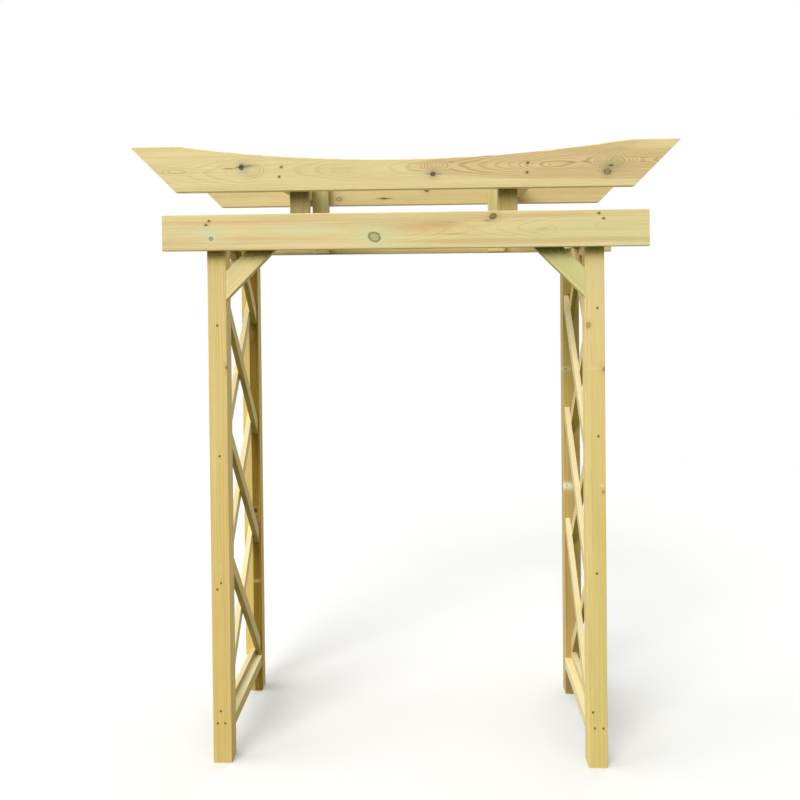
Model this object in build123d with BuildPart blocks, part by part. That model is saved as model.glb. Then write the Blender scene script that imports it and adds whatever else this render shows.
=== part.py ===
from build123d import *
import os
from math import atan2, cos, radians, sqrt, tan

os.makedirs("parts", exist_ok=True)

# Garden arch of planed softwood: two posts a side joined by a lattice panel, a pair of straight
# lower beams, and a pair of upper beams with undercut ends and a dished top edge.
# Millimetres, +Z up, the front faces -Y, the origin lies on the ground midway between the four posts.

# Timber sections
post_side = 68
board_thickness = 44
rail_width = 68
strut_width = 68
spreader_side = 68
brace_width = 72
batten_width = 40
batten_thickness = 20
strip_height = 31
beam_easing = 3
frame_easing = 2.5
batten_easing = 1.5

# Layout of the four posts
clear_width = 1278
depth_over_posts = 600

# Lower beams, fixed on the outside faces of the posts, with their tops level with the post tops
clear_height = 1850
lower_beam_height = 128
lower_beam_overhang = 148

# Upper beams: undercut ends, a level piece of top edge at each tip and a shallow arc between them
beam_gap = 80
upper_beam_height = 162
upper_beam_overhang = 259
undercut_angle = 45
tip_flat = 171
dish_depth = 57

# Struts carry the upper beams, and spreaders join the upper beams just outside the struts
strut_inset = 234
strut_foot_inset = 4
strut_head_lap = 97
spreader_rise = 25

# Knee braces at the front, in the corners between the posts and the lower beam
brace_drop = 176
brace_lap = 48

# Side panels: rails between the posts, and battens in an outer and an inner layer
bottom_rail_height = 108
top_rail_lift = 8
lattice_inset = 5
lattice_foot = 197
lattice_overlap = 48
top_crossing_drop = 5
battens_per_layer = 4

# Places that follow from the sizes above
post_x = (clear_width + post_side) / 2
post_y = (depth_over_posts - post_side) / 2
post_height = clear_height + lower_beam_height
post_face_x = clear_width / 2
post_outer_x = post_face_x + post_side
post_face_y = depth_over_posts / 2
panel_length = depth_over_posts - 2 * post_side
upper_beam_bottom = post_height + beam_gap
strut_outer_x = post_face_x - strut_inset
bottom_rail_top = bottom_rail_height + board_thickness
top_rail_bottom = clear_height + top_rail_lift
top_crossing = clear_height - top_crossing_drop
lattice_pitch = (top_crossing - lattice_foot - lattice_overlap / 2) / (battens_per_layer - 0.5)
lattice_rise = lattice_pitch + lattice_overlap
lattice_slope = atan2(lattice_rise, panel_length)

sides = {"left": -1, "right": 1}
ends = {"front": -1, "rear": 1}


def save(piece, name):
    piece.part.label = name
    export_step(piece.part, f"parts/{name}.step")


def beam_plane(end):
    """The face of a beam that looks towards -Y, so that an extrusion of -board_thickness fills the beam."""
    near = post_face_y if end > 0 else -post_face_y - board_thickness
    return Plane.XZ.offset(-near)


def make_post(name, side, end):
    with BuildPart() as post:
        with BuildSketch(Plane.XY):
            with Locations((side * post_x, end * post_y)):
                Rectangle(post_side, post_side)
        extrude(amount=post_height)
        fillet(post.edges().filter_by(Axis.Z), radius=frame_easing)
    save(post, name)


def make_lower_beam(name, end):
    with BuildPart() as beam:
        with BuildSketch(beam_plane(end)):
            with Locations((0, clear_height + lower_beam_height / 2)):
                Rectangle(2 * (post_outer_x + lower_beam_overhang), lower_beam_height)
        extrude(amount=-board_thickness)
        fillet(beam.edges().filter_by(Axis.X), radius=beam_easing)
    save(beam, name)


def make_upper_beam(name, end):
    """The tips overhang by the undercut, and the arc's chord runs between the two level pieces."""
    tip_x = post_outer_x + upper_beam_overhang
    chord_x = tip_x - tip_flat
    foot_x = tip_x - upper_beam_height / tan(radians(undercut_angle))
    top_z = upper_beam_bottom + upper_beam_height
    with BuildPart() as beam:
        with BuildSketch(beam_plane(end)):
            with BuildLine():
                Polyline((-chord_x, top_z), (-tip_x, top_z), (-foot_x, upper_beam_bottom),
                         (foot_x, upper_beam_bottom), (tip_x, top_z), (chord_x, top_z))
                ThreePointArc((chord_x, top_z), (0, top_z - dish_depth), (-chord_x, top_z))
            make_face()
        extrude(amount=-board_thickness)
        outline = beam.edges().filter_by(Plane.XZ)
        long_edges = outline.filter_by(Axis.X) + outline.filter_by(GeomType.CIRCLE)
        fillet(long_edges, radius=beam_easing)
    save(beam, name)


def make_strut(name, side, end):
    """Stands on the inner faces of a lower beam and the upper beam over it."""
    foot = clear_height + strut_foot_inset
    head = upper_beam_bottom + strut_head_lap
    centre = (side * (strut_outer_x - strut_width / 2), end * (post_face_y - board_thickness / 2))
    with BuildPart() as strut:
        with BuildSketch(Plane.XY.offset(foot)):
            with Locations(centre):
                Rectangle(strut_width, board_thickness)
        extrude(amount=head - foot)
        fillet(strut.edges().filter_by(Axis.Z), radius=frame_easing)
    save(strut, name)


def make_spreader(name, side):
    """Reaches from one upper beam to the other, against the outer sides of two struts."""
    middle_z = upper_beam_bottom + spreader_rise + spreader_side / 2
    centre = (side * (strut_outer_x + spreader_side / 2), middle_z)
    with BuildPart() as spreader:
        with BuildSketch(Plane.XZ.offset(-post_face_y)):
            with Locations(centre):
                Rectangle(spreader_side, spreader_side)
        extrude(amount=depth_over_posts)
        fillet(spreader.edges().filter_by(Axis.Y), radius=frame_easing)
    save(spreader, name)


def make_knee_brace(name, side):
    """A plumb cut meets the post, and the level-cut head laps the back of the front lower beam."""
    toe = clear_height - brace_drop
    heel = toe + brace_width * sqrt(2)
    head = clear_height + brace_lap
    with BuildPart() as brace:
        with BuildSketch(Plane.XZ.offset(post_face_y)):
            with BuildLine():
                Polyline((side * post_face_x, toe), (side * (post_face_x - head + toe), head),
                         (side * (post_face_x - head + heel), head), (side * post_face_x, heel), close=True)
            make_face()
        extrude(amount=-board_thickness)
        fillet(brace.edges().filter_by(Axis((0, 0, 0), (-side, 0, 1))), radius=frame_easing)
    save(brace, name)


def make_rail(name, x, bottom, width, height):
    """A level piece between a front and a rear post: a rail, or a strip of batten."""
    easing = batten_easing if width == batten_thickness else frame_easing
    with BuildPart() as rail:
        with BuildSketch(Plane.XZ.offset(-panel_length / 2)):
            with Locations((x, bottom + height / 2)):
                Rectangle(width, height)
        extrude(amount=panel_length)
        fillet(rail.edges().filter_by(Axis.Y), radius=easing)
    save(rail, name)


def make_lattice_batten(name, x, lean, foot, low_stop, high_stop):
    """One slanting batten, cut plumb against the posts and level where it meets a rail or a strip.

    lean is 1 where the batten rises towards the rear and -1 where it rises towards the front."""
    plumb_half = batten_width / 2 / cos(lattice_slope)
    y_low = -lean * panel_length / 2
    y_high = -y_low
    with BuildPart() as batten:
        with BuildSketch(Plane.YZ.offset(x - batten_thickness / 2)):
            with BuildLine():
                Polyline((y_low, foot - plumb_half), (y_high, foot + lattice_rise - plumb_half),
                         (y_high, foot + lattice_rise + plumb_half), (y_low, foot + plumb_half), close=True)
            make_face()
            with Locations((0, (low_stop + high_stop) / 2)):
                Rectangle(panel_length, high_stop - low_stop, mode=Mode.INTERSECT)
        extrude(amount=batten_thickness)
        run = Axis((0, 0, 0), (0, lean * panel_length, lattice_rise))
        fillet(batten.edges().filter_by(run), radius=batten_easing)
    save(batten, name)


def make_side_panel(side_name, side):
    """Two rails, a strip on each in the outer layer, and two layers of slanting battens.

    The right panel is the left one turned half round, so the layers lean opposite ways there."""
    inner_x = side * (post_face_x + lattice_inset + batten_thickness / 2)
    outer_x = inner_x + side * batten_thickness
    strip_top = bottom_rail_top + strip_height
    strip_bottom = top_rail_bottom - strip_height
    make_rail(f"{side_name}_bottom_rail", side * post_x, bottom_rail_height, rail_width, board_thickness)
    make_rail(f"{side_name}_top_rail", side * post_x, top_rail_bottom, rail_width, board_thickness)
    make_rail(f"{side_name}_bottom_strip", outer_x, bottom_rail_top, batten_thickness, strip_height)
    make_rail(f"{side_name}_top_strip", outer_x, strip_bottom, batten_thickness, strip_height)
    outer = f"{side_name}_outer_batten"
    inner = f"{side_name}_inner_batten"
    for i in range(battens_per_layer):
        foot = lattice_foot + i * lattice_pitch
        make_lattice_batten(f"{outer}_{i + 1}", outer_x, -side, foot, strip_top, strip_bottom)
        make_lattice_batten(f"{inner}_{i + 1}", inner_x, side, foot, bottom_rail_top, top_rail_bottom)


for end_name, end in ends.items():
    make_lower_beam(f"{end_name}_lower_beam", end)
    make_upper_beam(f"{end_name}_upper_beam", end)
    for side_name, side in sides.items():
        make_post(f"{end_name}_{side_name}_post", side, end)
        make_strut(f"{end_name}_{side_name}_strut", side, end)

for side_name, side in sides.items():
    make_spreader(f"{side_name}_spreader", side)
    make_knee_brace(f"{side_name}_knee_brace", side)
    make_side_panel(side_name, side)
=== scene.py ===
from math import cos, pi, radians, sin, tau
from random import Random

import bmesh
import bpy
from mathutils import Matrix, Vector


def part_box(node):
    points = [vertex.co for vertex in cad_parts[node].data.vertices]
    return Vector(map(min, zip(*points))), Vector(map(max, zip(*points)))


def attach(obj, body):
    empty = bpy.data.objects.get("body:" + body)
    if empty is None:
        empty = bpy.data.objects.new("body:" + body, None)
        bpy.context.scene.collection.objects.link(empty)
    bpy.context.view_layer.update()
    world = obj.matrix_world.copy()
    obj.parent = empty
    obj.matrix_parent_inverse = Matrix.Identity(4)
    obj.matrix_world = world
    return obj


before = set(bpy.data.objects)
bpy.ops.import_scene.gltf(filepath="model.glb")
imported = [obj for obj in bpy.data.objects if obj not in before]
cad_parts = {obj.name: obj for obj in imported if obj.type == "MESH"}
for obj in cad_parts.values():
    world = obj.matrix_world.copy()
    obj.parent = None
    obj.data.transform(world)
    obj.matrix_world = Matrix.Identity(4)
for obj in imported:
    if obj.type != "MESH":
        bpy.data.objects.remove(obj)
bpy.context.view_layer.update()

scene = bpy.context.scene

# Camera: it stands a little right of the middle, at beam height, and looks level along the arch
camera_place = Vector((0.1131, -3.2961, 1.7497))
camera_turn = radians(2.43)
camera_tilt = radians(-0.733)
camera_roll = radians(-0.588)
sensor_width = 36.0
picture_side = 800.0
focal_pixels = 842.9
optical_row = 288.0

# Light: two broad soft sources, in front and on the left, a weak one behind, and a white sky
# whose lowest part is darker and greenish, as it is out of doors
lamps = {
    "front_light": {"azimuth": 24, "elevation": 36, "level": 0.66, "spread": 32},
    "side_light": {"azimuth": 84, "elevation": 24, "level": 0.46, "spread": 50},
    "back_light": {"azimuth": 200, "elevation": 22, "level": 0.22, "spread": 60},
}
high_sky = (0.88, 0.88, 0.88)
low_sky = (0.22, 0.23, 0.10)
low_sky_heights = (0.05, 0.55)
white = (1.0, 1.0, 1.0)

# Floor: a disc that fades out between two distances from the arch
floor_radius = 30.0
floor_corners = 96
floor_fade = (2.2, 5.5)
floor_colours = ((0.715, 0.715, 0.710), (0.735, 0.735, 0.730))
floor_bounce = (0.13, 0.135, 0.045)

# Colours of the timber, as linear light
sapwood = (0.800, 0.655, 0.338)
lattice_sapwood = (0.770, 0.645, 0.360)
post_sapwood = (0.780, 0.580, 0.225)
# The posts grow darker and yellower towards the foot: painted shade
post_foot_painted_shade = (0.715, 0.525, 0.178)
# The rear right post is darkened all along by painted shade; its inner side gets painted light back
rear_right_head_in_painted_shade = (0.460, 0.345, 0.084)
rear_right_foot_in_painted_shade = (0.475, 0.330, 0.095)
right_brace_sapwood = (0.730, 0.665, 0.295)
latewood = (0.420, 0.275, 0.110)
heartwood = (0.710, 0.525, 0.268)
# The rear left post's front face: partly its own dark heartwood, partly painted shade
dark_heartwood_and_painted_shade = (0.205, 0.122, 0.003)
green_tint = (0.690, 0.665, 0.350)
brown_streak = (0.650, 0.440, 0.200)
orange_streak = (0.730, 0.490, 0.215)
knot_brown = (0.200, 0.120, 0.050)
knot_bark = (0.070, 0.045, 0.022)
copper_stain = (0.380, 0.440, 0.280)
split_dark = (0.040, 0.026, 0.012)
# Lighter eased edges: partly wear, partly a painted highlight
arris_highlight_and_wear = (0.900, 0.800, 0.520)
end_latewood = (0.33, 0.21, 0.09)
screw_stain = (0.26, 0.16, 0.045)
# Painted shadows under the lower beam, on the heads of the posts and the braces
beam_shadow = (0.10, 0.075, 0.012)
brace_shadow = (0.08, 0.060, 0.004)

# Tones that a colour is multiplied by
end_grain_tone = (0.80, 0.72, 0.58)
rear_beam_tone = (0.85, 0.81, 0.73)
# The struts are darkened by painted shade from the beams, most at their heads and with less blue
strut_painted_shade_blue = 0.76
strut_head_painted_shade = 0.72

# The planed surface: the eased edges, the roughness, and the bump's strength and depth in metres
arris_reach = 0.004
arris_highlight_and_wear_strength = 0.22
planed_roughness = 0.66
latewood_polish = -0.10
sawn_roughness = 0.18
planed_bump = (0.35, 0.0012)
plain_gloss = 0.35

FLOAT = "NodeSocketFloat"
VECTOR = "NodeSocketVector"
COLOUR = "NodeSocketColor"
axis_x = Vector((1, 0, 0))
axis_y = Vector((0, 1, 0))
axis_z = Vector((0, 0, 1))
front = -axis_y
rear = axis_y

# Layers of noise in the timber: its rate along and across the grain, the shift of the seed, the detail
grain_layers = {
    "ripple": (9.0, 60.0, 3.1, 2.0),
    "band": (0.8, 46.0, 11.7, 3.0),
    "patch": (1.6, 11.0, 23.9, 2.0),
    "cloud": (3.0, 30.0, 31.3, 3.0),
    "strand": (1.6, 170.0, 37.7, 2.0),
    "fibre": (22.0, 900.0, 41.1, 2.0),
    "tint": (12.0, 80.0, 0.0, 3.0),
    "knot edge": (95.0, 95.0, 0.0, 3.0),
    "knot stain": (55.0, 90.0, 5.0, 2.0),
    # side light patches: where the painted light and shade on sides shows
    "side light patches": (3.0, 40.0, 0.0, 2.0),
}

# Layers that lighten and darken the wood: the low and high of the noise, and the light at each
shading_layers = {
    "cloud": (0.3, 0.7, 0.955, 1.03),
    "strand": (0.25, 0.75, 0.935, 1.05),
    "fibre": (0.25, 0.75, 0.94, 1.04),
}


class Nodes:
    """Short calls for the nodes of one shader tree."""

    def __init__(self, tree):
        self.tree = tree

    def feed(self, socket, value):
        if isinstance(value, bpy.types.NodeSocket):
            self.tree.links.new(value, socket)
        elif socket.type == "RGBA" and len(value) == 3:
            socket.default_value = (*value, 1.0)
        else:
            socket.default_value = value

    def node(self, kind, values=(), **settings):
        made = self.tree.nodes.new("ShaderNode" + kind)
        for name, value in settings.items():
            setattr(made, name, value)
        for name, value in dict(values).items():
            self.feed(made.inputs[name], value)
        return made

    def math(self, operation, *values):
        made = self.node("Math", operation=operation)
        for socket, value in zip(made.inputs, values):
            self.feed(socket, value)
        return made.outputs[0]

    def add(self, a, b):
        return self.math("ADD", a, b)

    def minus(self, a, b):
        return self.math("SUBTRACT", a, b)

    def times(self, a, b):
        return self.math("MULTIPLY", a, b)

    def over(self, a, b):
        return self.math("DIVIDE", a, b)

    def times_plus(self, a, b, c):
        """a times b, plus c."""
        return self.math("MULTIPLY_ADD", a, b, c)

    def vector(self, operation, *values, result="Vector"):
        made = self.node("VectorMath", operation=operation)
        for socket, value in zip(made.inputs, values):
            self.feed(socket, value)
        return made.outputs[result]

    def scaled(self, vector, amount):
        made = self.node("VectorMath", {"Vector": vector, "Scale": amount}, operation="SCALE")
        return made.outputs["Vector"]

    def length(self, vector):
        return self.vector("LENGTH", vector, result="Value")

    def dot(self, a, b):
        return self.vector("DOT_PRODUCT", a, b, result="Value")

    def axes(self, vector):
        made = self.node("SeparateXYZ", {"Vector": vector})
        return made.outputs["X"], made.outputs["Y"], made.outputs["Z"]

    def joined(self, x=0.0, y=0.0, z=0.0):
        return self.node("CombineXYZ", {"X": x, "Y": y, "Z": z}).outputs["Vector"]

    def across_grain(self, vector):
        """The part of a way that isn't along the grain."""
        return self.vector("MULTIPLY", vector, (0.0, 1.0, 1.0))

    def step(self, value, low, high, start=0.0, end=1.0):
        """Goes smoothly from start to end while the value goes from low to high."""
        values = {"Value": value, "From Min": low, "From Max": high, "To Min": start, "To Max": end}
        return self.node("MapRange", values, interpolation_type="SMOOTHSTEP").outputs["Result"]

    def drop(self, value, low, high):
        """Falls smoothly from one to nought while the value goes from low to high."""
        return self.step(value, low, high, 1.0, 0.0)

    def hump(self, value):
        """A bell curve of height one round zero."""
        return self.math("EXPONENT", self.times(self.times(value, value), -1.0))

    def noise(self, position, stretch, seed, detail=2.0):
        """Noise in the piece's own space, with a pattern of its own for each seed."""
        spot = self.vector("MULTIPLY", position, stretch)
        values = {"Vector": spot, "W": seed, "Scale": 1.0, "Detail": detail}
        return self.node("TexNoise", values, noise_dimensions="4D").outputs

    def grain(self, position, seed, layer):
        """One of the layers of noise in the timber, drawn out along the grain."""
        along, across, shift, detail = grain_layers[layer]
        return self.noise(position, (along, across, across), self.add(seed, shift), detail)["Fac"]

    def mix(self, amount, a, b, blend="MIX"):
        made = self.node("Mix", data_type="RGBA", blend_type=blend)
        for place, value in ((0, amount), (6, a), (7, b)):
            self.feed(made.inputs[place], value)
        return made.outputs[2]

    def shaded(self, colour, amount):
        """The colour with its light multiplied by a grey amount."""
        grey = self.node("CombineColor", {"Red": amount, "Green": amount, "Blue": amount}).outputs["Color"]
        return self.mix(1.0, colour, grey, "MULTIPLY")

    def group(self, group, **values):
        """Adds a group, and feeds each of its sockets with the value of its name."""
        made = self.node("Group", node_tree=group)
        for socket in made.inputs:
            self.feed(socket, values[socket.name.lower().replace(" ", "_")])
        return made.outputs

    def show(self, shader, output="OutputMaterial"):
        """Gives a finished shader to the surface, or to the world."""
        self.feed(self.node(output).inputs["Surface"], shader)

    def show_principled(self, colour, rough, height, bump, gloss=0.5, metal=0.0):
        """Shows the Principled shader, with a bump of a strength and a depth in metres."""
        strength, depth = bump
        values = {"Height": height, "Strength": strength, "Distance": depth}
        normal = self.node("Bump", values).outputs["Normal"]
        values = {"Base Color": colour, "Roughness": rough, "Normal": normal, "Metallic": metal,
                  "Specular IOR Level": gloss}
        self.show(self.node("BsdfPrincipled", values).outputs["BSDF"])


def add_object(name, data):
    made = bpy.data.objects.new(name, data)
    scene.collection.objects.link(made)
    return made


def add_shape(shape, name, material):
    """A mesh object of a finished shape, with one material."""
    mesh = bpy.data.meshes.new(name)
    shape.to_mesh(mesh)
    shape.free()
    mesh.materials.append(material)
    return add_object(name, mesh)


def blank_nodes(owner):
    """Empties the node tree of a material or a world, and gives the short calls for it."""
    owner.use_nodes = True
    owner.node_tree.nodes.clear()
    return Nodes(owner.node_tree)


def new_group(name, inputs, outputs):
    """An empty shader node group with named sockets: its nodes, what comes in and what goes out."""
    tree = bpy.data.node_groups.new(name, "ShaderNodeTree")
    for in_out, sockets in (("INPUT", inputs), ("OUTPUT", outputs)):
        for kind, labels in sockets.items():
            for label in labels.split(", "):
                tree.interface.new_socket(name=label, in_out=in_out, socket_type=kind)
    given = tree.nodes.new("NodeGroupInput").outputs
    out = tree.nodes.new("NodeGroupOutput").inputs
    return Nodes(tree), given, out


def from_the_run(n, given):
    """How deep the point lies along a mark's run, and its way across from the mark's centre line."""
    away = n.vector("SUBTRACT", given["Position"], given["Centre"])
    depth = n.dot(away, given["Direction"])
    return depth, n.vector("SUBTRACT", away, n.scaled(given["Direction"], depth))


def pulled_length(n, across, pull):
    """The length of the way across, with the pull along the grain taken out."""
    x, y, z = n.axes(across)
    return n.length(n.joined(n.over(x, pull), y, z))


def swirl_group():
    """How far a knot or a figure pushes the growth rings aside, and how strongly they show there."""
    n, given, out = new_group(
        "Swirl of the grain",
        {VECTOR: "Position, Centre, Direction", FLOAT: "Bend, Figure, Reach, Pull, Lift, Mark"},
        {FLOAT: "Bend, Figure"})
    rim_softness = 0.3
    _, across = from_the_run(n, given)
    far = n.over(pulled_length(n, across, given["Pull"]), given["Reach"])
    near = n.math("SMOOTH_MAX", n.minus(1.0, far), 0.0, rim_softness)
    n.feed(out["Bend"], n.times_plus(given["Lift"], near, given["Bend"]))
    n.feed(out["Figure"], n.times_plus(given["Mark"], near, given["Figure"]))
    return n.tree


def rings_group():
    """Growth rings round a pith line that runs along the timber and wanders a little."""
    n, given, out = new_group(
        "Growth rings",
        {VECTOR: "Position, Pith, Drift", FLOAT: "Bend, Ring width, Wander, Seed"},
        {FLOAT: "Latewood, Radius"})
    sway_stretch = (1.3, 2.5, 2.5)
    sway_gain = 4.0
    ripple_depth = 0.0030
    uneven_rate = 0.21
    uneven_rings = 2.6
    late_rise = (0.50, 0.84)
    late_fall = (0.90, 1.0)
    faintest = 0.3
    spot = given["Position"]
    seed = given["Seed"]
    along = n.axes(spot)[0]
    sway = n.vector("SUBTRACT", n.noise(spot, sway_stretch, seed, 1.0)["Color"], (0.5, 0.5, 0.5))
    sway = n.scaled(sway, n.times(given["Wander"], sway_gain))
    away = n.vector("SUBTRACT", n.vector("SUBTRACT", spot, given["Pith"]), n.scaled(given["Drift"], along))
    away = n.across_grain(n.vector("ADD", away, sway))
    ripple = n.times(n.minus(n.grain(spot, seed, "ripple"), 0.5), ripple_depth)
    radius = n.add(n.length(away), ripple)
    count = n.over(n.add(radius, given["Bend"]), given["Ring width"])
    slow = n.joined(n.times(count, uneven_rate), seed)
    uneven = n.node("TexNoise", {"Vector": slow, "Scale": 1.0, "Detail": 1.0}).outputs["Fac"]
    count = n.add(count, n.times(uneven, uneven_rings))
    mark = n.add(n.math("FLOOR", count), seed)
    strength = n.node("TexWhiteNoise", {"W": mark}, noise_dimensions="1D").outputs["Value"]
    part = n.math("FRACT", count)
    late = n.times(n.step(part, *late_rise), n.drop(part, *late_fall))
    n.feed(out["Latewood"], n.times(late, n.times_plus(strength, 1.0 - faintest, faintest)))
    n.feed(out["Radius"], radius)
    return n.tree


def planed_group():
    """Planed softwood: sapwood and heartwood, the lines of the rings, strands, fibre and treatment."""
    n, given, out = new_group(
        "Planed softwood",
        {VECTOR: "Position", COLOUR: "Head colour, Foot colour, Heart colour",
         FLOAT: "Latewood, Radius, Figure, Foot start, Head start, Heart radius, Heart, Contrast, "
                "Heart contrast, Green, Streak, Seed"},
        {COLOUR: "Colour", FLOAT: "Height"})
    streaks_show = (0.50, 0.70)
    green_shows = (0.46, 0.68)
    heart_rim = (-0.004, 0.0)
    latewood_height = 0.35
    fibre_height = 0.5
    spot = given["Position"]
    seed = given["Seed"]
    # The colour goes from the foot colour to the head colour along the grain; on the posts and struts this
    # carries painted shade
    head = n.step(n.axes(spot)[0], given["Foot start"], given["Head start"])
    colour = n.mix(head, given["Foot colour"], given["Head colour"])
    streaks = n.step(n.grain(spot, seed, "band"), *streaks_show)
    colour = n.mix(n.times(streaks, given["Streak"]), colour, brown_streak)
    patches = n.step(n.grain(spot, seed, "patch"), *green_shows)
    colour = n.mix(n.times(patches, given["Green"]), colour, green_tint)
    inner = n.drop(n.minus(given["Radius"], given["Heart radius"]), *heart_rim)
    colour = n.mix(n.times(inner, given["Heart"]), colour, given["Heart colour"])
    extra = n.times(inner, n.minus(given["Heart contrast"], given["Contrast"]))
    shown = n.add(n.add(given["Contrast"], given["Figure"]), extra)
    colour = n.mix(n.times(given["Latewood"], shown), colour, latewood)
    layers = {name: n.grain(spot, seed, name) for name in shading_layers}
    for name, lights in shading_layers.items():
        colour = n.shaded(colour, n.step(layers[name], *lights))
    fibre = n.times(layers["fibre"], fibre_height)
    n.feed(out["Colour"], colour)
    n.feed(out["Height"], n.times_plus(given["Latewood"], latewood_height, fibre))
    return n.tree


def tint_group():
    """A soft patch or streak of another tone, drawn out along the grain and close under one face."""
    n, given, out = new_group(
        "Tinted patch",
        {VECTOR: "Position, Centre, Direction", COLOUR: "Colour, Tint", FLOAT: "Reach, Pull, Strength, Seed"},
        {COLOUR: "Colour"})
    skin_depths = (0.010, 0.030)
    waver_gain = 1.4
    least_waver = 0.3
    depth, across = from_the_run(n, given)
    skin = n.drop(n.math("ABSOLUTE", depth), *skin_depths)
    waver = n.times_plus(n.grain(given["Position"], given["Seed"], "tint"), waver_gain, least_waver)
    share = n.over(pulled_length(n, across, given["Pull"]), n.times(given["Reach"], waver))
    amount = n.times(n.times(n.hump(share), skin), given["Strength"])
    n.feed(out["Colour"], n.mix(amount, given["Colour"], given["Tint"]))
    return n.tree


def knot_group():
    """A branch knot: its rings and bark line, the stain round it, and a split along the grain."""
    n, given, out = new_group(
        "Knot",
        {VECTOR: "Position, Centre, Direction", COLOUR: "Colour, Heart, Bark, Stain colour",
         FLOAT: "Height, Radius, Stretch, Bark strength, Stain, Stain reach, Split, Seed"},
        {COLOUR: "Colour", FLOAT: "Height"})
    edge_waver = 0.50
    knot_rim = (0.74, 1.08)
    ring_rate = 21.0
    ring_swing = 0.20
    ring_mean = 0.22
    bark_place = 0.93
    bark_width = 0.16
    stain_patches = (0.2, 0.7, 0.35, 1.0)
    split_waver = 0.006
    split_width = (0.0002, 0.0020)
    split_taper = (0.3, 1.0)
    split_strength = 0.7
    bark_depth = 0.5
    split_depth = 1.5
    spot = given["Position"]
    seed = given["Seed"]
    _, across = from_the_run(n, given)
    far = pulled_length(n, across, given["Stretch"])
    uneven = n.minus(n.grain(spot, seed, "knot edge"), 0.5)
    shaped = n.times_plus(uneven, n.times(given["Radius"], edge_waver), far)
    share = n.over(shaped, given["Radius"])
    inside = n.drop(share, *knot_rim)
    rings = n.times_plus(n.math("SINE", n.times(share, ring_rate)), ring_swing, ring_mean)
    heart = n.mix(rings, given["Heart"], given["Bark"])
    bark = n.times(n.hump(n.over(n.minus(share, bark_place), bark_width)), given["Bark strength"])
    patch = n.grain(spot, seed, "knot stain")
    stain = n.times(n.hump(n.over(far, given["Stain reach"])), n.step(patch, *stain_patches))
    off = n.times_plus(n.minus(patch, 0.5), split_waver, n.length(n.across_grain(across)))
    along = n.over(n.math("ABSOLUTE", n.axes(across)[0]), given["Split"])
    split = n.times(n.drop(off, *split_width), n.drop(along, *split_taper))
    colour = n.mix(n.times(stain, given["Stain"]), given["Colour"], given["Stain colour"])
    colour = n.mix(inside, colour, heart)
    colour = n.mix(bark, colour, given["Bark"])
    colour = n.mix(n.times(split, split_strength), colour, split_dark)
    lowered = n.add(n.times(bark, bark_depth), n.times(split, split_depth))
    n.feed(out["Colour"], colour)
    n.feed(out["Height"], n.minus(given["Height"], lowered))
    return n.tree


def sawn_end_group():
    """End grain: darker, with saw marks across it and short drying checks out from the pith."""
    n, given, out = new_group(
        "Sawn end",
        {VECTOR: "Position, Pith", COLOUR: "Colour", FLOAT: "Height, Facing, Latewood, Seed"},
        {COLOUR: "Colour", FLOAT: "Height, Mask"})
    end_facing = (0.35, 0.55)
    checks_round = 16.0
    checks_out = 24.0
    checks_show = (0.69, 0.74)
    saw_rate = 2600.0
    saw_slant = 0.3
    latewood_strength = 0.55
    check_strength = 0.75
    saw_height = 0.25
    check_height = -1.2
    mask = n.step(n.math("ABSOLUTE", given["Facing"]), *end_facing)
    away = n.across_grain(n.vector("SUBTRACT", given["Position"], given["Pith"]))
    _, y, z = n.axes(away)
    turn = n.times(n.math("ARCTAN2", y, z), checks_round)
    spot = n.joined(turn, given["Seed"], n.times(n.length(away), checks_out))
    ray = n.node("TexNoise", {"Vector": spot, "Scale": 1.0, "Detail": 1.0}).outputs["Fac"]
    check = n.step(ray, *checks_show)
    saw = n.math("SINE", n.times(n.add(y, n.times(z, saw_slant)), saw_rate))
    dark = n.mix(1.0, given["Colour"], end_grain_tone, "MULTIPLY")
    dark = n.mix(n.times(given["Latewood"], latewood_strength), dark, end_latewood)
    dark = n.mix(n.times(check, check_strength), dark, split_dark)
    height = n.times_plus(saw, saw_height, n.times(check, check_height))
    n.feed(out["Colour"], n.mix(mask, given["Colour"], dark))
    n.feed(out["Height"], n.times_plus(mask, height, given["Height"]))
    n.feed(out["Mask"], mask)
    return n.tree


def painted_side_light_group():
    """Painted light and shade on a side: its colour multiplied by a tone, in patches, told by the way the
    side faces.
    """
    n, given, out = new_group(
        "Painted side light",
        {VECTOR: "Position", COLOUR: "Colour, Tone", FLOAT: "Facing, Seed"},
        {COLOUR: "Colour"})
    side_facing = (0.55, 0.85)
    patches_show = (0.15, 0.6, 0.8, 1.0)
    patch = n.grain(given["Position"], given["Seed"], "side light patches")
    amount = n.times(n.step(given["Facing"], *side_facing), n.step(patch, *patches_show))
    toned = n.mix(1.0, given["Colour"], given["Tone"], "MULTIPLY")
    n.feed(out["Colour"], n.mix(amount, given["Colour"], toned))
    return n.tree


def eased_edge_group():
    """Marks the edges of a squared timber, where the planer has eased them."""
    n, given, out = new_group(
        "Eased edge",
        {VECTOR: "Position, Half size", FLOAT: "Reach"},
        {FLOAT: "Mask"})
    a, b, c = n.axes(n.vector("SUBTRACT", given["Half size"], n.vector("ABSOLUTE", given["Position"])))
    nearer = n.math("MAXIMUM", n.math("MINIMUM", a, b), n.math("MINIMUM", n.math("MAXIMUM", a, b), c))
    n.feed(out["Mask"], n.drop(nearer, 0.0, given["Reach"]))
    return n.tree


swirl = swirl_group()
growth_rings = rings_group()
planed_softwood = planed_group()
tinted_patch = tint_group()
knot_figure = knot_group()
sawn_end = sawn_end_group()
painted_side_light = painted_side_light_group()
eased_edge = eased_edge_group()

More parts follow.
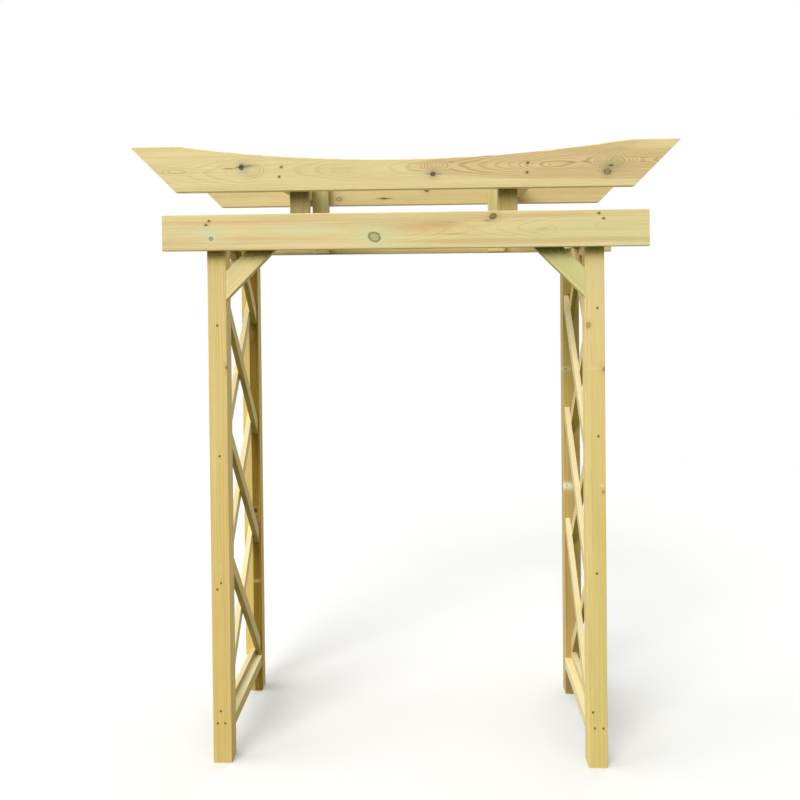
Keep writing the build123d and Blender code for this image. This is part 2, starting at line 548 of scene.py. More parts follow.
# What a knot is like where its own values don't say; reach, lift and stain_reach count in its radius
plain_knot = {
    "stretch": 1.25, "heart": knot_brown, "bark": knot_bark, "bark_strength": 0.7, "split": 0.001,
    "stain_colour": latewood, "stain": 0.5, "stain_reach": 2.2,
    "reach": 3.3, "pull": 2.6, "lift": 0.9, "mark": 0.10,
}
counted_in_radius = ("reach", "lift", "stain_reach")
look_seeds = 1000
stray_knot_seeds = 2000
rear_screw_seed = 77
screw_turn_seed = 5
tint_seed_step = 3.7
knot_seed_step = 7.3
side_seed_shift = 57.0


def timber_lie(node, along, face):
    """The timber's centre, its own axes and its half size: x runs along the grain and z out of the face."""
    across = face.cross(along).normalized()
    turn = Matrix((along, across, face)).transposed()
    low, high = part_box(node)
    centre = (low + high) / 2
    corners = [turn.transposed() @ (v.co - centre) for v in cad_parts[node].data.vertices]
    half = Vector([max(abs(c[i]) for c in corners) for i in range(3)])
    return centre, turn, half


def finish_timber(node, along, face, look, knots=(), swells=(), tints=(), sides=()):
    """Gives a CAD node the material of its own piece of softwood.

    Knots, swells and tints hold places in the part's frame, and are turned into the timber's axes.
    Sides holds pairs: the way a side with painted light and shade faces, and the tone its colour is
    multiplied by."""
    centre, turn, half = timber_lie(node, along, face)
    to_timber = turn.transposed()
    material = bpy.data.materials.new(node + "_softwood")
    n = blank_nodes(material)
    where = n.node("TexCoord").outputs
    own_axes = {"Vector": where["Object"], "Location": centre, "Rotation": turn.to_euler()}
    spot = n.node("Mapping", own_axes, vector_type="TEXTURE").outputs["Vector"]
    seed = look["seed"]

    def aimed(mark):
        return {**mark, "position": spot, "centre": to_timber @ (mark["place"] - centre),
                "direction": to_timber @ mark["run"]}

    knots = [{**plain_knot, **aimed(k)} for k in knots]
    for k in knots:
        k.update({name: k["radius"] * k[name] for name in counted_in_radius})
    bend, figure = 0.0, 0.0
    for mark in [*knots, *map(aimed, swells)]:
        done = n.group(swirl, **mark, bend=bend, figure=figure)
        bend, figure = done["Bend"], done["Figure"]
    rings = n.group(growth_rings, **look, position=spot, bend=bend)
    planed = n.group(planed_softwood, **look, position=spot, figure=figure, latewood=rings["Latewood"],
                     radius=rings["Radius"])
    colour, height = planed["Colour"], planed["Height"]
    for i, t in enumerate(tints, 1):
        colour = n.group(tinted_patch, **aimed(t), colour=colour, seed=seed + tint_seed_step * i)["Colour"]
    for i, k in enumerate(knots, 1):
        done = n.group(knot_figure, **k, colour=colour, height=height, seed=seed + knot_seed_step * i)
        colour, height = done["Colour"], done["Height"]
    end = n.group(sawn_end, **look, position=spot, colour=colour, height=height,
                  latewood=rings["Latewood"], facing=n.dot(where["Normal"], along))
    edge = n.group(eased_edge, position=spot, half_size=half, reach=arris_reach)["Mask"]
    # Eased edges are lightened: partly wear, partly a painted highlight
    colour = n.mix(n.times(edge, arris_highlight_and_wear_strength), end["Colour"], arris_highlight_and_wear)
    # Painted light and shade on the sides that face the given ways
    for way, tone in sides:
        facing = n.dot(where["Normal"], way)
        colour = n.group(painted_side_light, position=spot, colour=colour, facing=facing, tone=tone,
                         seed=seed + side_seed_shift)["Colour"]
    rough = n.times_plus(rings["Latewood"], latewood_polish, planed_roughness)
    rough = n.times_plus(end["Mask"], sawn_roughness, rough)
    n.show_principled(colour, rough, end["Height"], planed_bump, look["gloss"])
    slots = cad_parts[node].data.materials
    slots.clear()
    slots.append(material)


def shade(colour, *amounts):
    """The colour times one amount, or times an amount each for its red, green and blue."""
    if len(amounts) == 1:
        amounts = amounts * 3
    return tuple(c * a for c, a in zip(colour, amounts))


def look_of(index, sort, **changes):
    """The look of one timber of a sort's colour, drawn from its own seed, with the named values changed."""
    draw = Random(look_seeds + index)
    tone = draw.uniform(0.965, 1.03)
    look = {
        "seed": round(draw.uniform(0, 90), 2),
        "pith": Vector((0, draw.uniform(-0.03, 0.03), -draw.uniform(0.03, 0.09))),
        "drift": Vector((0, draw.uniform(-0.012, 0.012), draw.uniform(-0.02, 0.02))),
        "ring_width": draw.uniform(0.0028, 0.0042),
        "wander": 0.004,
        "contrast": draw.uniform(0.30, 0.50),
        "heart_colour": heartwood,
        "heart_radius": 0.02,
        "heart": 0.4,
        "green": draw.uniform(0.1, 0.40),
        "streak": draw.uniform(0.05, 0.30),
        "foot_start": -0.9,
        "head_start": 0.6,
        "gloss": plain_gloss,
    }
    look["head_colour"] = shade(sort, tone)
    look["foot_colour"] = look["head_colour"]
    look.update(changes)
    look.setdefault("heart_contrast", look["contrast"])
    return look


def stray_knot(index, node, face, radius):
    """A small knot at a place of its own, for a face whose knots no one place is known for."""
    draw = Random(stray_knot_seeds + index)
    low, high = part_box(node)
    place = Vector([draw.uniform(a, b) for a, b in zip(low, high)])
    return {"place": place, "run": face, "radius": draw.uniform(*radius),
            "stretch": draw.uniform(1.1, 1.5), "heart": shade(knot_brown, draw.uniform(1.2, 2.2)),
            "bark_strength": draw.uniform(0.3, 0.7), "stain": draw.uniform(0.2, 0.5)}


def millimetres(x, y, z):
    return Vector((x, y, z)) / 1000


def face_y(node, way):
    """Where a node's front or rear face stands, in millimetres."""
    low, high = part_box(node)
    return 1000 * (low.y if way == front else high.y)


def marker(node):
    """Gives the call that sets a mark on the front face of a node, and of others in the same plane."""
    y = face_y(node, front)

    def mark(x, z, **values):
        return {"place": millimetres(x, y, z), "run": front, **values}
    return mark


def marks_on(node, table, *names):
    """The marks of a table's rows for a node: x and z, then the named values."""
    mark = marker(node)
    return [mark(x, z, **dict(zip(names, values))) for x, z, *values in table.get(node, ())]


def on_corner(x, y, z, **values):
    """A knot that runs out slantwise at the inner corner of a front post's face."""
    return {"place": millimetres(x, y, z), "run": (axis_x + front).normalized(), **values}


on_beam = marker("front_upper_beam")
on_post = marker("front_left_post")
on_rear_beam = marker("rear_upper_beam")
on_rear_post = marker("rear_left_post")

knots = {
    "front_upper_beam": [
        on_beam(-568, 2143, radius=0.0092, stretch=0.95, reach=3.6, pull=1.7, lift=-0.5,
                heart=(0.085, 0.105, 0.085), bark=(0.030, 0.036, 0.030), bark_strength=0.8,
                stain_colour=(0.22, 0.25, 0.14), stain=0.85, stain_reach=1.9, split=0.034),
        on_beam(107, 2109, radius=0.0080, stretch=1.1, reach=3.9, pull=2.2, lift=0.5,
                heart=(0.170, 0.115, 0.065), stain_colour=(0.33, 0.25, 0.12), stain=0.8, split=0.040),
        on_beam(711, 2109, radius=0.0095, stretch=1.2, reach=3.6, pull=2.0, lift=0.5,
                heart=(0.42, 0.32, 0.17), bark_strength=0.9, stain_colour=(0.22, 0.17, 0.08), stain=0.8,
                stain_reach=1.8, split=0.022),
        on_beam(724, 2130, radius=0.0034, stretch=2.6, reach=3.8, heart=(0.17, 0.14, 0.06),
                stain_colour=(0.33, 0.31, 0.16), stain=0.9, stain_reach=3.6),
    ],
    "front_lower_beam": [
        on_beam(-100, 1892, radius=0.0165, stretch=1.0, reach=3.0, pull=2.0, lift=0.7,
                run=Vector((0.75, -1.0, -0.28)).normalized(),
                heart=(0.54, 0.53, 0.29), bark=(0.23, 0.18, 0.05), bark_strength=1.0,
                stain_colour=(0.66, 0.69, 0.40), stain=0.9, stain_reach=2.9),
        on_beam(315, 1958, radius=0.0092, stretch=1.0, reach=3.9, pull=2.4,
                run=Vector((0.80, -1.0, 0.35)).normalized(),
                heart=(0.32, 0.22, 0.09), bark=(0.10, 0.065, 0.022), bark_strength=1.0, stain=0.7),
        on_beam(-680, 1892, radius=0.0068, stretch=1.05, reach=3.0, heart=(0.42, 0.45, 0.32),
                bark=(0.13, 0.15, 0.11), bark_strength=0.9, stain_colour=(0.67, 0.69, 0.42), stain=0.6,
                stain_reach=3.2, lift=0.4),
    ],
    "rear_upper_beam": [
        on_rear_beam(-296, 2085, radius=0.0085, heart=(0.58, 0.44, 0.24), bark=(0.20, 0.12, 0.05),
                     bark_strength=1.0),
        on_rear_beam(-104, 2086, radius=0.0030, stretch=4.4, split=0.052, heart=(0.13, 0.07, 0.03),
                     stain=0.9),
        on_rear_beam(79, 2119, radius=0.0075, heart=(0.18, 0.11, 0.05)),
        on_rear_beam(-640, 2150, radius=0.0080, heart=(0.30, 0.20, 0.09)),
        on_rear_beam(420, 2141, radius=0.0065, heart=(0.36, 0.25, 0.12)),
    ],
    "rear_lower_beam": [
        on_rear_beam(-480, 1921, radius=0.0090, heart=(0.34, 0.23, 0.10)),
        on_rear_beam(150, 1899, radius=0.0060, heart=(0.26, 0.17, 0.08), split=0.020),
        on_rear_beam(590, 1936, radius=0.0110, heart=(0.44, 0.31, 0.15)),
    ],
    "front_left_post": [
        on_corner(-640, -299, 1431, radius=0.0050, heart=(0.38, 0.24, 0.10), bark_strength=0.4),
    ],
    "front_right_post": [
        on_post(649, 1574, radius=0.0085, stretch=1.3, heart=(0.52, 0.34, 0.10), bark=(0.44, 0.27, 0.07),
                bark_strength=0.6, stain_colour=(0.55, 0.38, 0.12), stain=0.6, stain_reach=1.6, lift=0.6),
        on_corner(705, -298, 1418, radius=0.0062, heart=(0.45, 0.29, 0.12), bark_strength=0.5),
        on_post(698, 984, radius=0.0050, heart=(0.52, 0.34, 0.11), bark=(0.38, 0.24, 0.08),
                bark_strength=0.6, stain_colour=(0.55, 0.38, 0.14)),
    ],
    "rear_left_post": [
        on_rear_post(-658, 768, radius=0.0072, heart=(0.120, 0.075, 0.018), bark=(0.030, 0.018, 0.004),
                     bark_strength=1.0),
    ],
    "rear_right_post": [
        on_rear_post(649, 1361, radius=0.0060, stretch=0.42, heart=(0.15, 0.15, 0.09),
                     stain_colour=copper_stain),
    ],
}

# Swells of the grain: x and z in millimetres, then these values, with the reach in metres
swell_values = ("reach", "pull", "lift", "mark")
swells = {
    "front_upper_beam": [
        (-526, 2130, 0.05, 1.1, -0.0185, 1),
        (116, 2139, 0.034, 1.5, -0.0145, 0.3),
        (509, 2135, 0.03, 3.6, -0.0105, 0.15),
        (742, 2141, 0.11, 0.75, -0.023, 0.15),
        (-816, 2132, 0.02, 4, -0.009, 0.45),
    ],
    "front_lower_beam": [
        (250, 1920, 0.28, 1.1, 0.02, 0.26),
        (620, 1918, 0.025, 3.4, 0.007, 0.24),
        (500, 1916, 0.02, 3.4, 0.007, 0.24),
    ],
}

# Tints: x and z in millimetres, then these values, with the reach in metres
tint_values = ("reach", "pull", "tint", "strength")
tints = {
    "front_upper_beam": [
        (-540, 2122, 0.026, 1.3, (0.5, 0.47, 0.28), 0.3),
        (-546, 2148, 0.0055, 3.4, (0.2, 0.2, 0.11), 0.75),
        (-610, 2139, 0.002, 11, (0.4, 0.23, 0.08), 1),
        (742, 2143, 0.026, 1.2, (0.44, 0.38, 0.18), 0.5),
        (-200, 2134, 0.008, 9, brown_streak, 0.4),
        (905, 2208, 0.026, 4.6, (0.8, 0.66, 0.34), 0.9),
    ],
    "front_lower_beam": [
        (-640, 1948, 0.0085, 30, orange_streak, 0.85),
        (-540, 1892, 0.006, 46, orange_streak, 0.85),
        (-420, 1962, 0.004, 50, orange_streak, 0.6),
        (60, 1926, 0.02, 8, (0.7, 0.47, 0.22), 0.95),
        (140, 1933, 0.006, 11, (0.62, 0.4, 0.17), 0.7),
        (330, 1921, 0.02, 6, (0.78, 0.67, 0.36), 0.8),
        (420, 1872, 0.005, 22, (0.66, 0.5, 0.24), 0.4),
        (480, 1962, 0.005, 36, (0.7, 0.46, 0.22), 0.8),
        (520, 1869, 0.0045, 44, (0.72, 0.48, 0.24), 0.75),
        (292, 1944, 0.0026, 5, (0.36, 0.24, 0.1), 0.8),
        (170, 1900, 0.0018, 26, (0.42, 0.28, 0.11), 0.6),
        (150, 1940, 0.0022, 22, (0.5, 0.33, 0.13), 0.6),
        (-690, 1912, 0.024, 3.4, (0.7, 0.7, 0.43), 0.55),
        (-350, 1918, 0.02, 7, (0.7, 0.7, 0.41), 0.55),
        (-60, 1900, 0.04, 1.8, green_tint, 0.4),
        (640, 1918, 0.03, 5, (0.66, 0.62, 0.31), 0.45),
    ],
    "rear_lower_beam": [
        # Two dark streaks along the rear lower beam's bottom edge: painted shade
        (-390, 1853, 0.012, 24, (0.2, 0.15, 0.04), 0.75),
        (120, 1853, 0.011, 30, (0.42, 0.31, 0.11), 0.65),
    ],
    "front_left_post": [
        (-671, 710, 0.008, 1.5, (0.74, 0.66, 0.34), 0.3),
        (-690, 1200, 0.006, 80, (0.83, 0.66, 0.31), 0.55),
        (-655, 900, 0.005, 120, (0.72, 0.5, 0.17), 0.5),
    ],
    "front_right_post": [
        (680, 1720, 0.04, 7, (0.81, 0.67, 0.36), 0.6),
        (650, 1100, 0.005, 130, (0.84, 0.7, 0.32), 0.6),
        (668, 1300, 0.006, 90, (0.76, 0.58, 0.22), 0.6),
        (692, 700, 0.007, 70, (0.74, 0.55, 0.15), 0.5),
        (672, 1421, 0.03, 0.16, (0.86, 0.74, 0.38), 0.4),
        (694, 1006, 0.004, 1.1, (0.94, 0.9, 0.66), 0.7),
    ],
    "rear_left_post": [
        (-655, 469, 0.02, 0.3, (0.6, 0.48, 0.2), 0.7),
        (-643, 700, 0.004, 60, (0.42, 0.22, 0.05), 0.7),
        (-662, 95, 0.04, 2, (0.5, 0.3, 0.07), 0.8),
    ],
    "rear_right_post": [
        (651, 874, 0.02, 0.8, (0.93, 0.91, 0.78), 1),
        (651, 874, 0.013, 0.8, (0.93, 0.91, 0.78), 1),
        (652, 873, 0.005, 1, (0.42, 0.46, 0.36), 0.9),
        (650, 1362, 0.024, 0.4, (0.72, 0.66, 0.36), 0.6),
        (652, 1000, 0.006, 80, (0.62, 0.48, 0.16), 0.5),
        (647, 420, 0.004, 60, (0.33, 0.2, 0.07), 0.8),
        (659, 350, 0.003, 60, (0.36, 0.23, 0.08), 0.6),
        (660, 40, 0.06, 1.1, (0.25, 0.18, 0.07), 0.8),
    ],
}

# Screws: beams to posts and struts, and posts to rails and battens (x, z in millimetres)
front_screws = {
    "front_upper_beam": [(-426, 2142), (-434, 2108), (437, 2143), (434, 2110)],
    "front_lower_beam": [(-686, 1955), (-697, 1941), (681, 1965), (697, 1947)],
    "front_left_post": [(-673, 1583), (-670, 1112), (-671, 653), (-685, 630), (-678, 188),
                        (-689, 144), (-662, 144)],
    "front_right_post": [(682, 1634), (682, 1181), (673, 694), (656, 199), (662, 142), (692, 142)],
}


def rear_screws():
    """The same screws from behind, each driven a few millimetres off."""
    draw = Random(rear_screw_seed)
    stray = 5
    found = {}
    for node, places in front_screws.items():
        moved = [(x + draw.uniform(-stray, stray), z + draw.uniform(-stray, stray)) for x, z in places]
        found[node.replace("front", "rear")] = moved
    return found


screw_places = {**front_screws, **rear_screws()}


def hand(node):
    """Minus one for a piece of the left side, and one for the right."""
    return -1 if "left" in node else 1


def way_out(node):
    """The way out of the arch from a front or a rear piece."""
    return front if node.startswith("front") else rear


def shade_under_beam(node):
    """Painted shade on a post, close under the lower beam."""
    post_middle = hand(node) * 673
    return on_post(post_middle, 1852, reach=0.050, pull=0.36, tint=beam_shadow, strength=0.75)


def screw_tints(node):
    """The dark mark that each screw leaves in the wood round it, drawn out along the grain."""
    way = way_out(node)
    y = face_y(node, way)
    reach = 0.0052 if "beam" in node else 0.0036
    return [{"place": millimetres(x, y, z), "run": way, "reach": reach, "pull": 1.3,
             "tint": screw_stain, "strength": 0.75} for x, z in screw_places[node]]


# Looks of the pieces, where they aren't drawn: a sort of wood, and the values that differ from look_of
all_sapwood = {"sort": sapwood, "head_colour": sapwood, "foot_colour": sapwood}
rear_beam_look = {
    "sort": shade(sapwood, *rear_beam_tone), "streak": 0.3, "green": 0.2, "contrast": 0.25,
}
beam_looks = {
    "front_upper_beam": {
        **all_sapwood, "pith": Vector((0, -0.005, -0.0575)), "drift": Vector((0, 0.016, 0.049)),
        "ring_width": 0.0030, "heart_radius": 0.081, "heart": 0.85, "green": 0.10, "streak": 0.12,
        "contrast": 0.20, "heart_contrast": 0.74,
    },
    "front_lower_beam": {
        **all_sapwood, "pith": Vector((0, 0.004, -0.030)), "drift": Vector((0, 0.004, 0.004)),
        "ring_width": 0.0050, "green": 0.40, "streak": 0.60, "contrast": 0.18,
    },
    "rear_upper_beam": rear_beam_look,
    "rear_lower_beam": rear_beam_look,
}
post_changes = {
    "front_right_post": {
        "head_colour": shade(post_sapwood, 0.98, 1.02, 1.0),
        "foot_colour": shade(post_foot_painted_shade, 1.03, 1.11, 1.12),
    },
    # Partly real dark heartwood and partly painted shade on the rear left post's front face
    "rear_left_post": {
        "pith": Vector((0, -0.021, 0.047)), "ring_width": 0.0045, "heart_radius": 0.0275, "heart": 0.97,
        "heart_colour": dark_heartwood_and_painted_shade, "gloss": 0.06,
    },
    "rear_right_post": {
        "head_colour": rear_right_head_in_painted_shade, "foot_colour": rear_right_foot_in_painted_shade, "foot_start": -0.2,
        "head_start": 0.4,
    },
}
brace_looks = {
    "left_knee_brace": {"sort": shade(sapwood, 1.10), "green": 0.3, "streak": 0.15},
    "right_knee_brace": {"sort": right_brace_sapwood, "green": 0.6, "streak": 0.1},
}
# Painted shade of each strut, from the beams above and in front
strut_painted_shade = {
    "front_left_strut": 0.40, "front_right_strut": 0.50, "rear_left_strut": 0.64, "rear_right_strut": 0.95,
}
brace_shadow_places = (475, 505, 535, 560)
post_knot_radii = (0.004, 0.007)
batten_knot_radii = (0.003, 0.005)

# Tones of painted light and shade on sides; those of rails and strips are for the top and the inner side, for
# the left hand (-1) and the right (1)
rail_painted_light_and_shade = {
    -1: ((1.34, 1.42, 1.66), (0.76, 0.74, 0.44)),
    1: ((1.04, 1.10, 1.12), (1.08, 1.12, 1.06)),
}
strip_painted_shade = {
    -1: ((0.92, 0.92, 0.96), (0.54, 0.50, 0.28)),
    1: ((0.92, 0.92, 0.96), (0.95, 0.90, 0.75)),
}
batten_underside_painted_shade = (0.50, 0.46, 0.14)
left_inner_batten_painted_shade = (0.90, 0.82, 0.60)
right_batten_painted_shade = (0.90, 0.88, 0.84)
rear_right_inner_painted_light = (1.15, 1.15, 1.25)


def batten_slope(node):
    """A slanting batten's length in plan, and how far it climbs between the tops of its plumb ends."""
    close = 0.002
    low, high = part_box(node)
    tops = []
    for y in (low.y, high.y):
        tops.append(max(v.co.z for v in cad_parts[node].data.vertices if abs(v.co.y - y) < close))
    return high.y - low.y, abs(tops[1] - tops[0])


batten_run, batten_climb = batten_slope("left_inner_batten_2")


def finish_beam(index, node):
    finish_timber(node, axis_x, way_out(node), look_of(index, **beam_looks[node]), knots[node],
                  marks_on(node, swells, *swell_values),
                  marks_on(node, tints, *tint_values) + screw_tints(node))


def finish_post(index, node):
    # The foot colour is painted shade, darker and yellower towards the foot
    look = look_of(index, post_sapwood, pith=Vector((0, 0.055 * hand(node), -0.065)), green=0.12,
                   streak=0.22, contrast=0.30, foot_colour=post_foot_painted_shade, head_colour=post_sapwood)
    look.update(post_changes.get(node, {}))
    own = list(knots[node])
    marks = marks_on(node, tints, *tint_values) + screw_tints(node)
    if node.startswith("front"):
        marks.append(shade_under_beam(node))
    else:
        own.append(stray_knot(index, node, rear, post_knot_radii))
    # The rear right post's inner side gets painted light
    sides = [(-axis_x, rear_right_inner_painted_light)] if node == "rear_right_post" else []
    finish_timber(node, axis_z, front, look, own, tints=marks, sides=sides)


def finish_strut(index, node):
    """Struts stand in the shade of the beams, which is deeper at their heads."""
    # The strut's colour is darkened by painted shade
    dark = strut_painted_shade[node]
    look = look_of(index, shade(sapwood, dark, dark, dark * strut_painted_shade_blue), streak=0.5, contrast=0.45,
                   green=0.4, foot_start=-0.03, head_start=0.05, gloss=0.20)
    look["head_colour"] = shade(look["head_colour"], strut_head_painted_shade)
    finish_timber(node, axis_z, way_out(node), look)


def finish_spreader(index, node):
    finish_timber(node, axis_y, axis_x * hand(node), look_of(index, post_sapwood))


def finish_brace(index, node):
    """The heads of the braces lie in deep shade behind the lower beam."""
    side = hand(node)
    low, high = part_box(node)
    along = Vector((-side * (high.x - low.x), 0, high.z - low.z)).normalized()
    look = look_of(index, contrast=0.14, gloss=0.20, **brace_looks[node])
    shadow = [on_post(side * x, 1856, reach=0.022, pull=1.0, tint=brace_shadow, strength=0.93)
              for x in brace_shadow_places]
    finish_timber(node, along, front, look, tints=shadow)


def finish_level_piece(index, node):
    """A rail or a strip, which lies along the depth of the arch."""
    side = hand(node)
    inward = -axis_x * side
    look = look_of(index, lattice_sapwood)
    if "rail" in node:
        face = axis_z
        top_tone, inner_tone = rail_painted_light_and_shade[side]
        look.update(contrast=0.12, heart_contrast=0.12, streak=0.1)
    else:
        face = inward
        top_tone, inner_tone = strip_painted_shade[side]
    # The top and the inner side get painted light and shade
    finish_timber(node, axis_y, face, look, sides=[(axis_z, top_tone), (inward, inner_tone)])


def finish_batten(index, node):
    """The two layers of battens lean opposite ways, and some of the battens have a knot."""
    side = hand(node)
    inward = -axis_x * side
    lean = -side if "outer" in node else side
    along = Vector((0, lean * batten_run, batten_climb)).normalized()
    under = Vector((0, lean * batten_climb, -batten_run)).normalized()
    # The underside and the inner face of a batten get painted shade
    sides = [(under, batten_underside_painted_shade)]
    if node.startswith("left_inner"):
        sides.append((inward, left_inner_batten_painted_shade))
    elif side > 0:
        sides.append((inward, right_batten_painted_shade))
    has_knot = index % 3 == 0
    own = [stray_knot(index, node, inward, batten_knot_radii)] if has_knot else []
    finish_timber(node, along, inward, look_of(index, lattice_sapwood), own, sides=sides)


finishers = {
    "beam": finish_beam, "post": finish_post, "strut": finish_strut, "spreader": finish_spreader,
    "brace": finish_brace, "rail": finish_level_piece, "strip": finish_level_piece, "batten": finish_batten,
}


def finish_all_timber():
    """Goes through the CAD nodes in name order, so that each has a seed of its own."""
    for index, node in enumerate(sorted(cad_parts)):
        kind = next(word for word in finishers if word in node)
        finishers[kind](index, node)


def browned_steel():
    """The dark coated steel of the screws, whose coating is rubbed in spots."""
    speck_stretch = (900.0, 900.0, 900.0)
    rubbed_specks = (0.52, 0.66)
    coating = (0.085, 0.050, 0.017)
    bare_steel = (0.20, 0.13, 0.06)
    coat_roughness = 0.80
    rubbed_polish = -0.15
    bump = (0.3, 0.0002)
    material = bpy.data.materials.new("browned_screw_steel")
    n = blank_nodes(material)
    spot = n.node("TexCoord").outputs["Object"]
    speck = n.noise(spot, speck_stretch, seed=1.0, detail=3.0)["Fac"]
    rubbed = n.step(speck, *rubbed_specks)
    rough = n.times_plus(rubbed, rubbed_polish, coat_roughness)
    n.show_principled(n.mix(rubbed, coating, bare_steel), rough, speck, bump, gloss=0.2, metal=0.2)
    return material


def crushed_wood():
    """The torn and darkened ring of fibre round a driven screw."""
    torn_stretch = (700.0, 1500.0, 700.0)
    torn_shows = (0.35, 0.65)
    roughness = (0.3, 0.7, 0.70, 0.85)
    bump = (0.6, 0.0005)
    dark_fibre = (0.20, 0.13, 0.04)
    pale_fibre = (0.44, 0.32, 0.14)
    material = bpy.data.materials.new("crushed_fibre")
    n = blank_nodes(material)
    spot = n.node("TexCoord").outputs["Object"]
    torn = n.noise(spot, torn_stretch, seed=4.0, detail=3.0)["Fac"]
    colour = n.mix(n.step(torn, *torn_shows), dark_fibre, pale_fibre)
    n.show_principled(colour, n.step(torn, *roughness), torn, bump)
    return material


# Screw heads and their rims, in metres; the profiles pair a share of the head's radius with a height
head_radius = 0.0031
head_sides = 24
head_profile = [(0.80, -0.0012), (1.0, 0.0), (0.97, 0.0003), (0.84, 0.0005)]
rim_profile = [(0.99, -0.0004), (1.05, 0.0003), (1.22, 0.0002), (1.42, -0.0004)]
recess_arm = 0.0018
recess_half = 0.0005
recess_depth = 0.0010
recess_taper = 0.8


def rings_of(shape, profile, lie):
    angles = [tau * i / head_sides for i in range(head_sides)]
    rings = []
    for share, height in profile:
        radius = head_radius * share
        points = [Vector((radius * cos(a), radius * sin(a), height)) for a in angles]
        rings.append([shape.verts.new(lie @ point) for point in points])
    return rings


def join_rings(shape, lower, upper):
    for i in range(len(lower)):
        j = (i + 1) % len(lower)
        shape.faces.new((lower[i], lower[j], upper[j], upper[i]))


def cross_ring(shape, lie, share, height):
    """The twelve corners of a cross recess, in order round it."""
    a, h = recess_arm * share, recess_half * share
    corners = [(a, -h), (a, h), (h, h), (h, a), (-h, a), (-h, h),
               (-a, h), (-a, -h), (-h, -h), (-h, -a), (h, -a), (h, -h)]
    return [shape.verts.new(lie @ Vector((x, y, height))) for x, y in corners]


def add_head(shape, lie):
    """One countersunk head, a shade proud of the wood, with a cross recess sunk in its flat top."""
    rings = rings_of(shape, head_profile, lie)
    for lower, upper in zip(rings, rings[1:]):
        join_rings(shape, lower, upper)
    top = head_profile[-1][1]
    mouth = cross_ring(shape, lie, 1.0, top)
    floor = cross_ring(shape, lie, recess_taper, top - recess_depth)
    edges = [shape.edges.get((a, b)) for a, b in zip(rings[-1], rings[-1][1:] + rings[-1][:1])]
    edges += [shape.edges.new((a, b)) for a, b in zip(mouth, mouth[1:] + mouth[:1])]
    bmesh.ops.triangle_fill(shape, use_beauty=True, edges=edges)
    join_rings(shape, floor, mouth)
    shape.faces.new(floor)


def add_fibre_rim(shape, lie):
    """The low ring of fibre that the head pushed up."""
    rings = rings_of(shape, rim_profile, lie)
    for lower, upper in zip(rings, rings[1:]):
        join_rings(shape, upper, lower)


def add_piece(shape, name, material):
    bmesh.ops.recalc_face_normals(shape, faces=shape.faces)
    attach(add_shape(shape, name, material), "root")


def drive_screws():
    """The screws that show, on every beam and post, each turned by a seeded amount."""
    steel = browned_steel()
    fibre = crushed_wood()
    draw = Random(screw_turn_seed)
    for node, places in screw_places.items():
        way = way_out(node)
        y = face_y(node, way)
        upright = way.to_track_quat("Z", "Y").to_matrix().to_4x4()
        heads, rims = bmesh.new(), bmesh.new()
        for x, z in places:
            turn = Matrix.Rotation(draw.uniform(0, pi), 4, "Z")
            lie = Matrix.Translation(millimetres(x, y, z)) @ upright @ turn
            add_head(heads, lie)
            add_fibre_rim(rims, lie)
        add_piece(heads, node + "_screws", steel)
        add_piece(rims, node + "_screw_rims", fibre)


def place_camera():
    """Level but for a slight tilt, with the view shifted down as the photograph's upright posts need."""
    right = Vector((cos(camera_turn), sin(camera_turn), 0))
    ahead = Vector((-sin(camera_turn), cos(camera_turn), 0))
    forward = ahead * cos(camera_tilt) + axis_z * sin(camera_tilt)
    up = axis_z * cos(camera_tilt) - ahead * sin(camera_tilt)
    rolled_right = right * cos(camera_roll) + up * sin(camera_roll)
    rolled_up = up * cos(camera_roll) - right * sin(camera_roll)
    data = bpy.data.cameras.new("photograph_view")
    data.sensor_width = sensor_width
    data.lens = focal_pixels / picture_side * sensor_width
    data.shift_y = (optical_row - picture_side / 2) / picture_side
    camera = add_object("photograph_view", data)
    turn = Matrix((rolled_right, rolled_up, -forward)).transposed().to_4x4()
    camera.matrix_world = Matrix.Translation(camera_place) @ turn
    scene.camera = camera


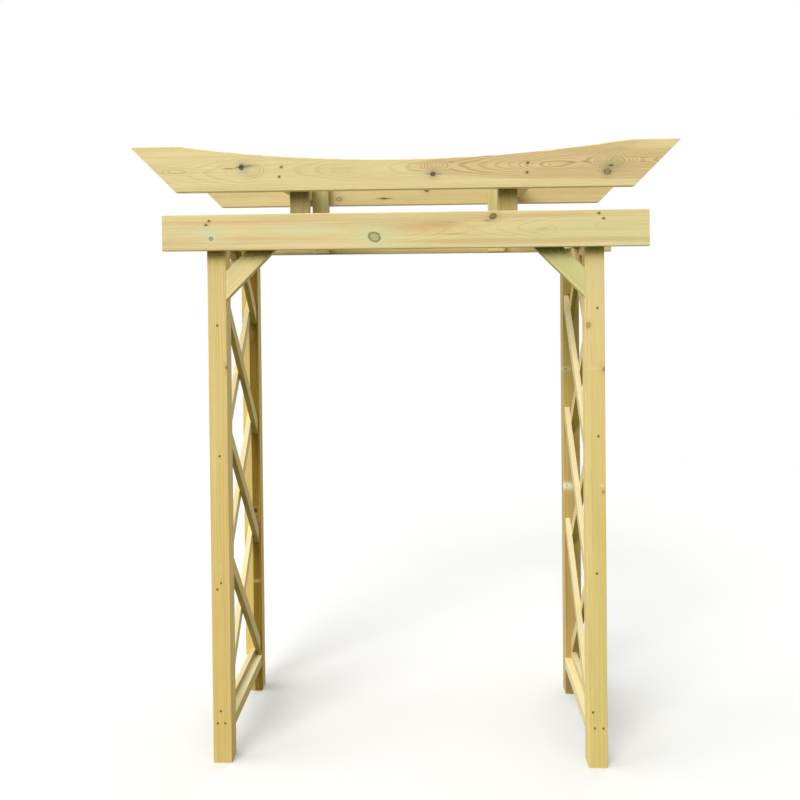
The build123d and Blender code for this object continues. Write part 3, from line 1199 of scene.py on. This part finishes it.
def place_light(name, azimuth, elevation, level, spread):
    """A broad lamp that shines from an azimuth counted from the front towards the left."""
    a, e = radians(azimuth), radians(elevation)
    source = Vector((-sin(a) * cos(e), -cos(a) * cos(e), sin(e)))
    data = bpy.data.lights.new(name, "SUN")
    data.energy = level * pi
    data.angle = radians(spread)
    add_object(name, data).rotation_euler = source.to_track_quat("Z", "Y").to_euler()


def seen_directly(n):
    """One for the rays that show the backdrop itself, and nought for those that carry light."""
    path = n.node("LightPath").outputs
    sharp = n.math("MAXIMUM", path["Is Glossy Ray"], path["Is Transmission Ray"])
    return n.math("MAXIMUM", path["Is Camera Ray"], sharp)


def light_the_scene():
    for name, values in lamps.items():
        place_light(name, **values)
    world = bpy.data.worlds.new("pale_sky")
    scene.world = world
    n = blank_nodes(world)
    height = n.axes(n.node("TexCoord").outputs["Generated"])[2]
    sky = n.mix(n.step(height, *low_sky_heights), low_sky, high_sky)
    back = n.node("Background", {"Color": n.mix(seen_directly(n), sky, white), "Strength": 1.0})
    n.show(back.outputs["Background"], "OutputWorld")


def lay_floor():
    """A level pale floor that fades into the white background, and gives back only a little light."""
    cloud_stretch = (1.5, 1.5, 1.5)
    disc = bmesh.new()
    bmesh.ops.create_circle(disc, cap_ends=True, segments=floor_corners, radius=floor_radius)
    material = bpy.data.materials.new("pale_floor")
    n = blank_nodes(material)
    seen = seen_directly(n)
    spot = n.node("TexCoord").outputs["Object"]
    pale = n.mix(n.noise(spot, cloud_stretch, seed=2.0)["Fac"], *floor_colours)
    cloth = n.node("BsdfDiffuse", {"Color": n.mix(seen, floor_bounce, pale)})
    both = n.node("MixShader", {"Fac": n.times(n.step(n.length(spot), *floor_fade), seen)})
    n.feed(both.inputs[1], cloth.outputs["BSDF"])
    n.feed(both.inputs[2], n.node("BsdfTransparent").outputs["BSDF"])
    n.show(both.outputs["Shader"])
    add_shape(disc, "studio_floor", material)


finish_all_timber()
drive_screws()
lay_floor()
light_the_scene()
place_camera()
scene.view_settings.view_transform = "Standard"

bpy.context.view_layer.update()
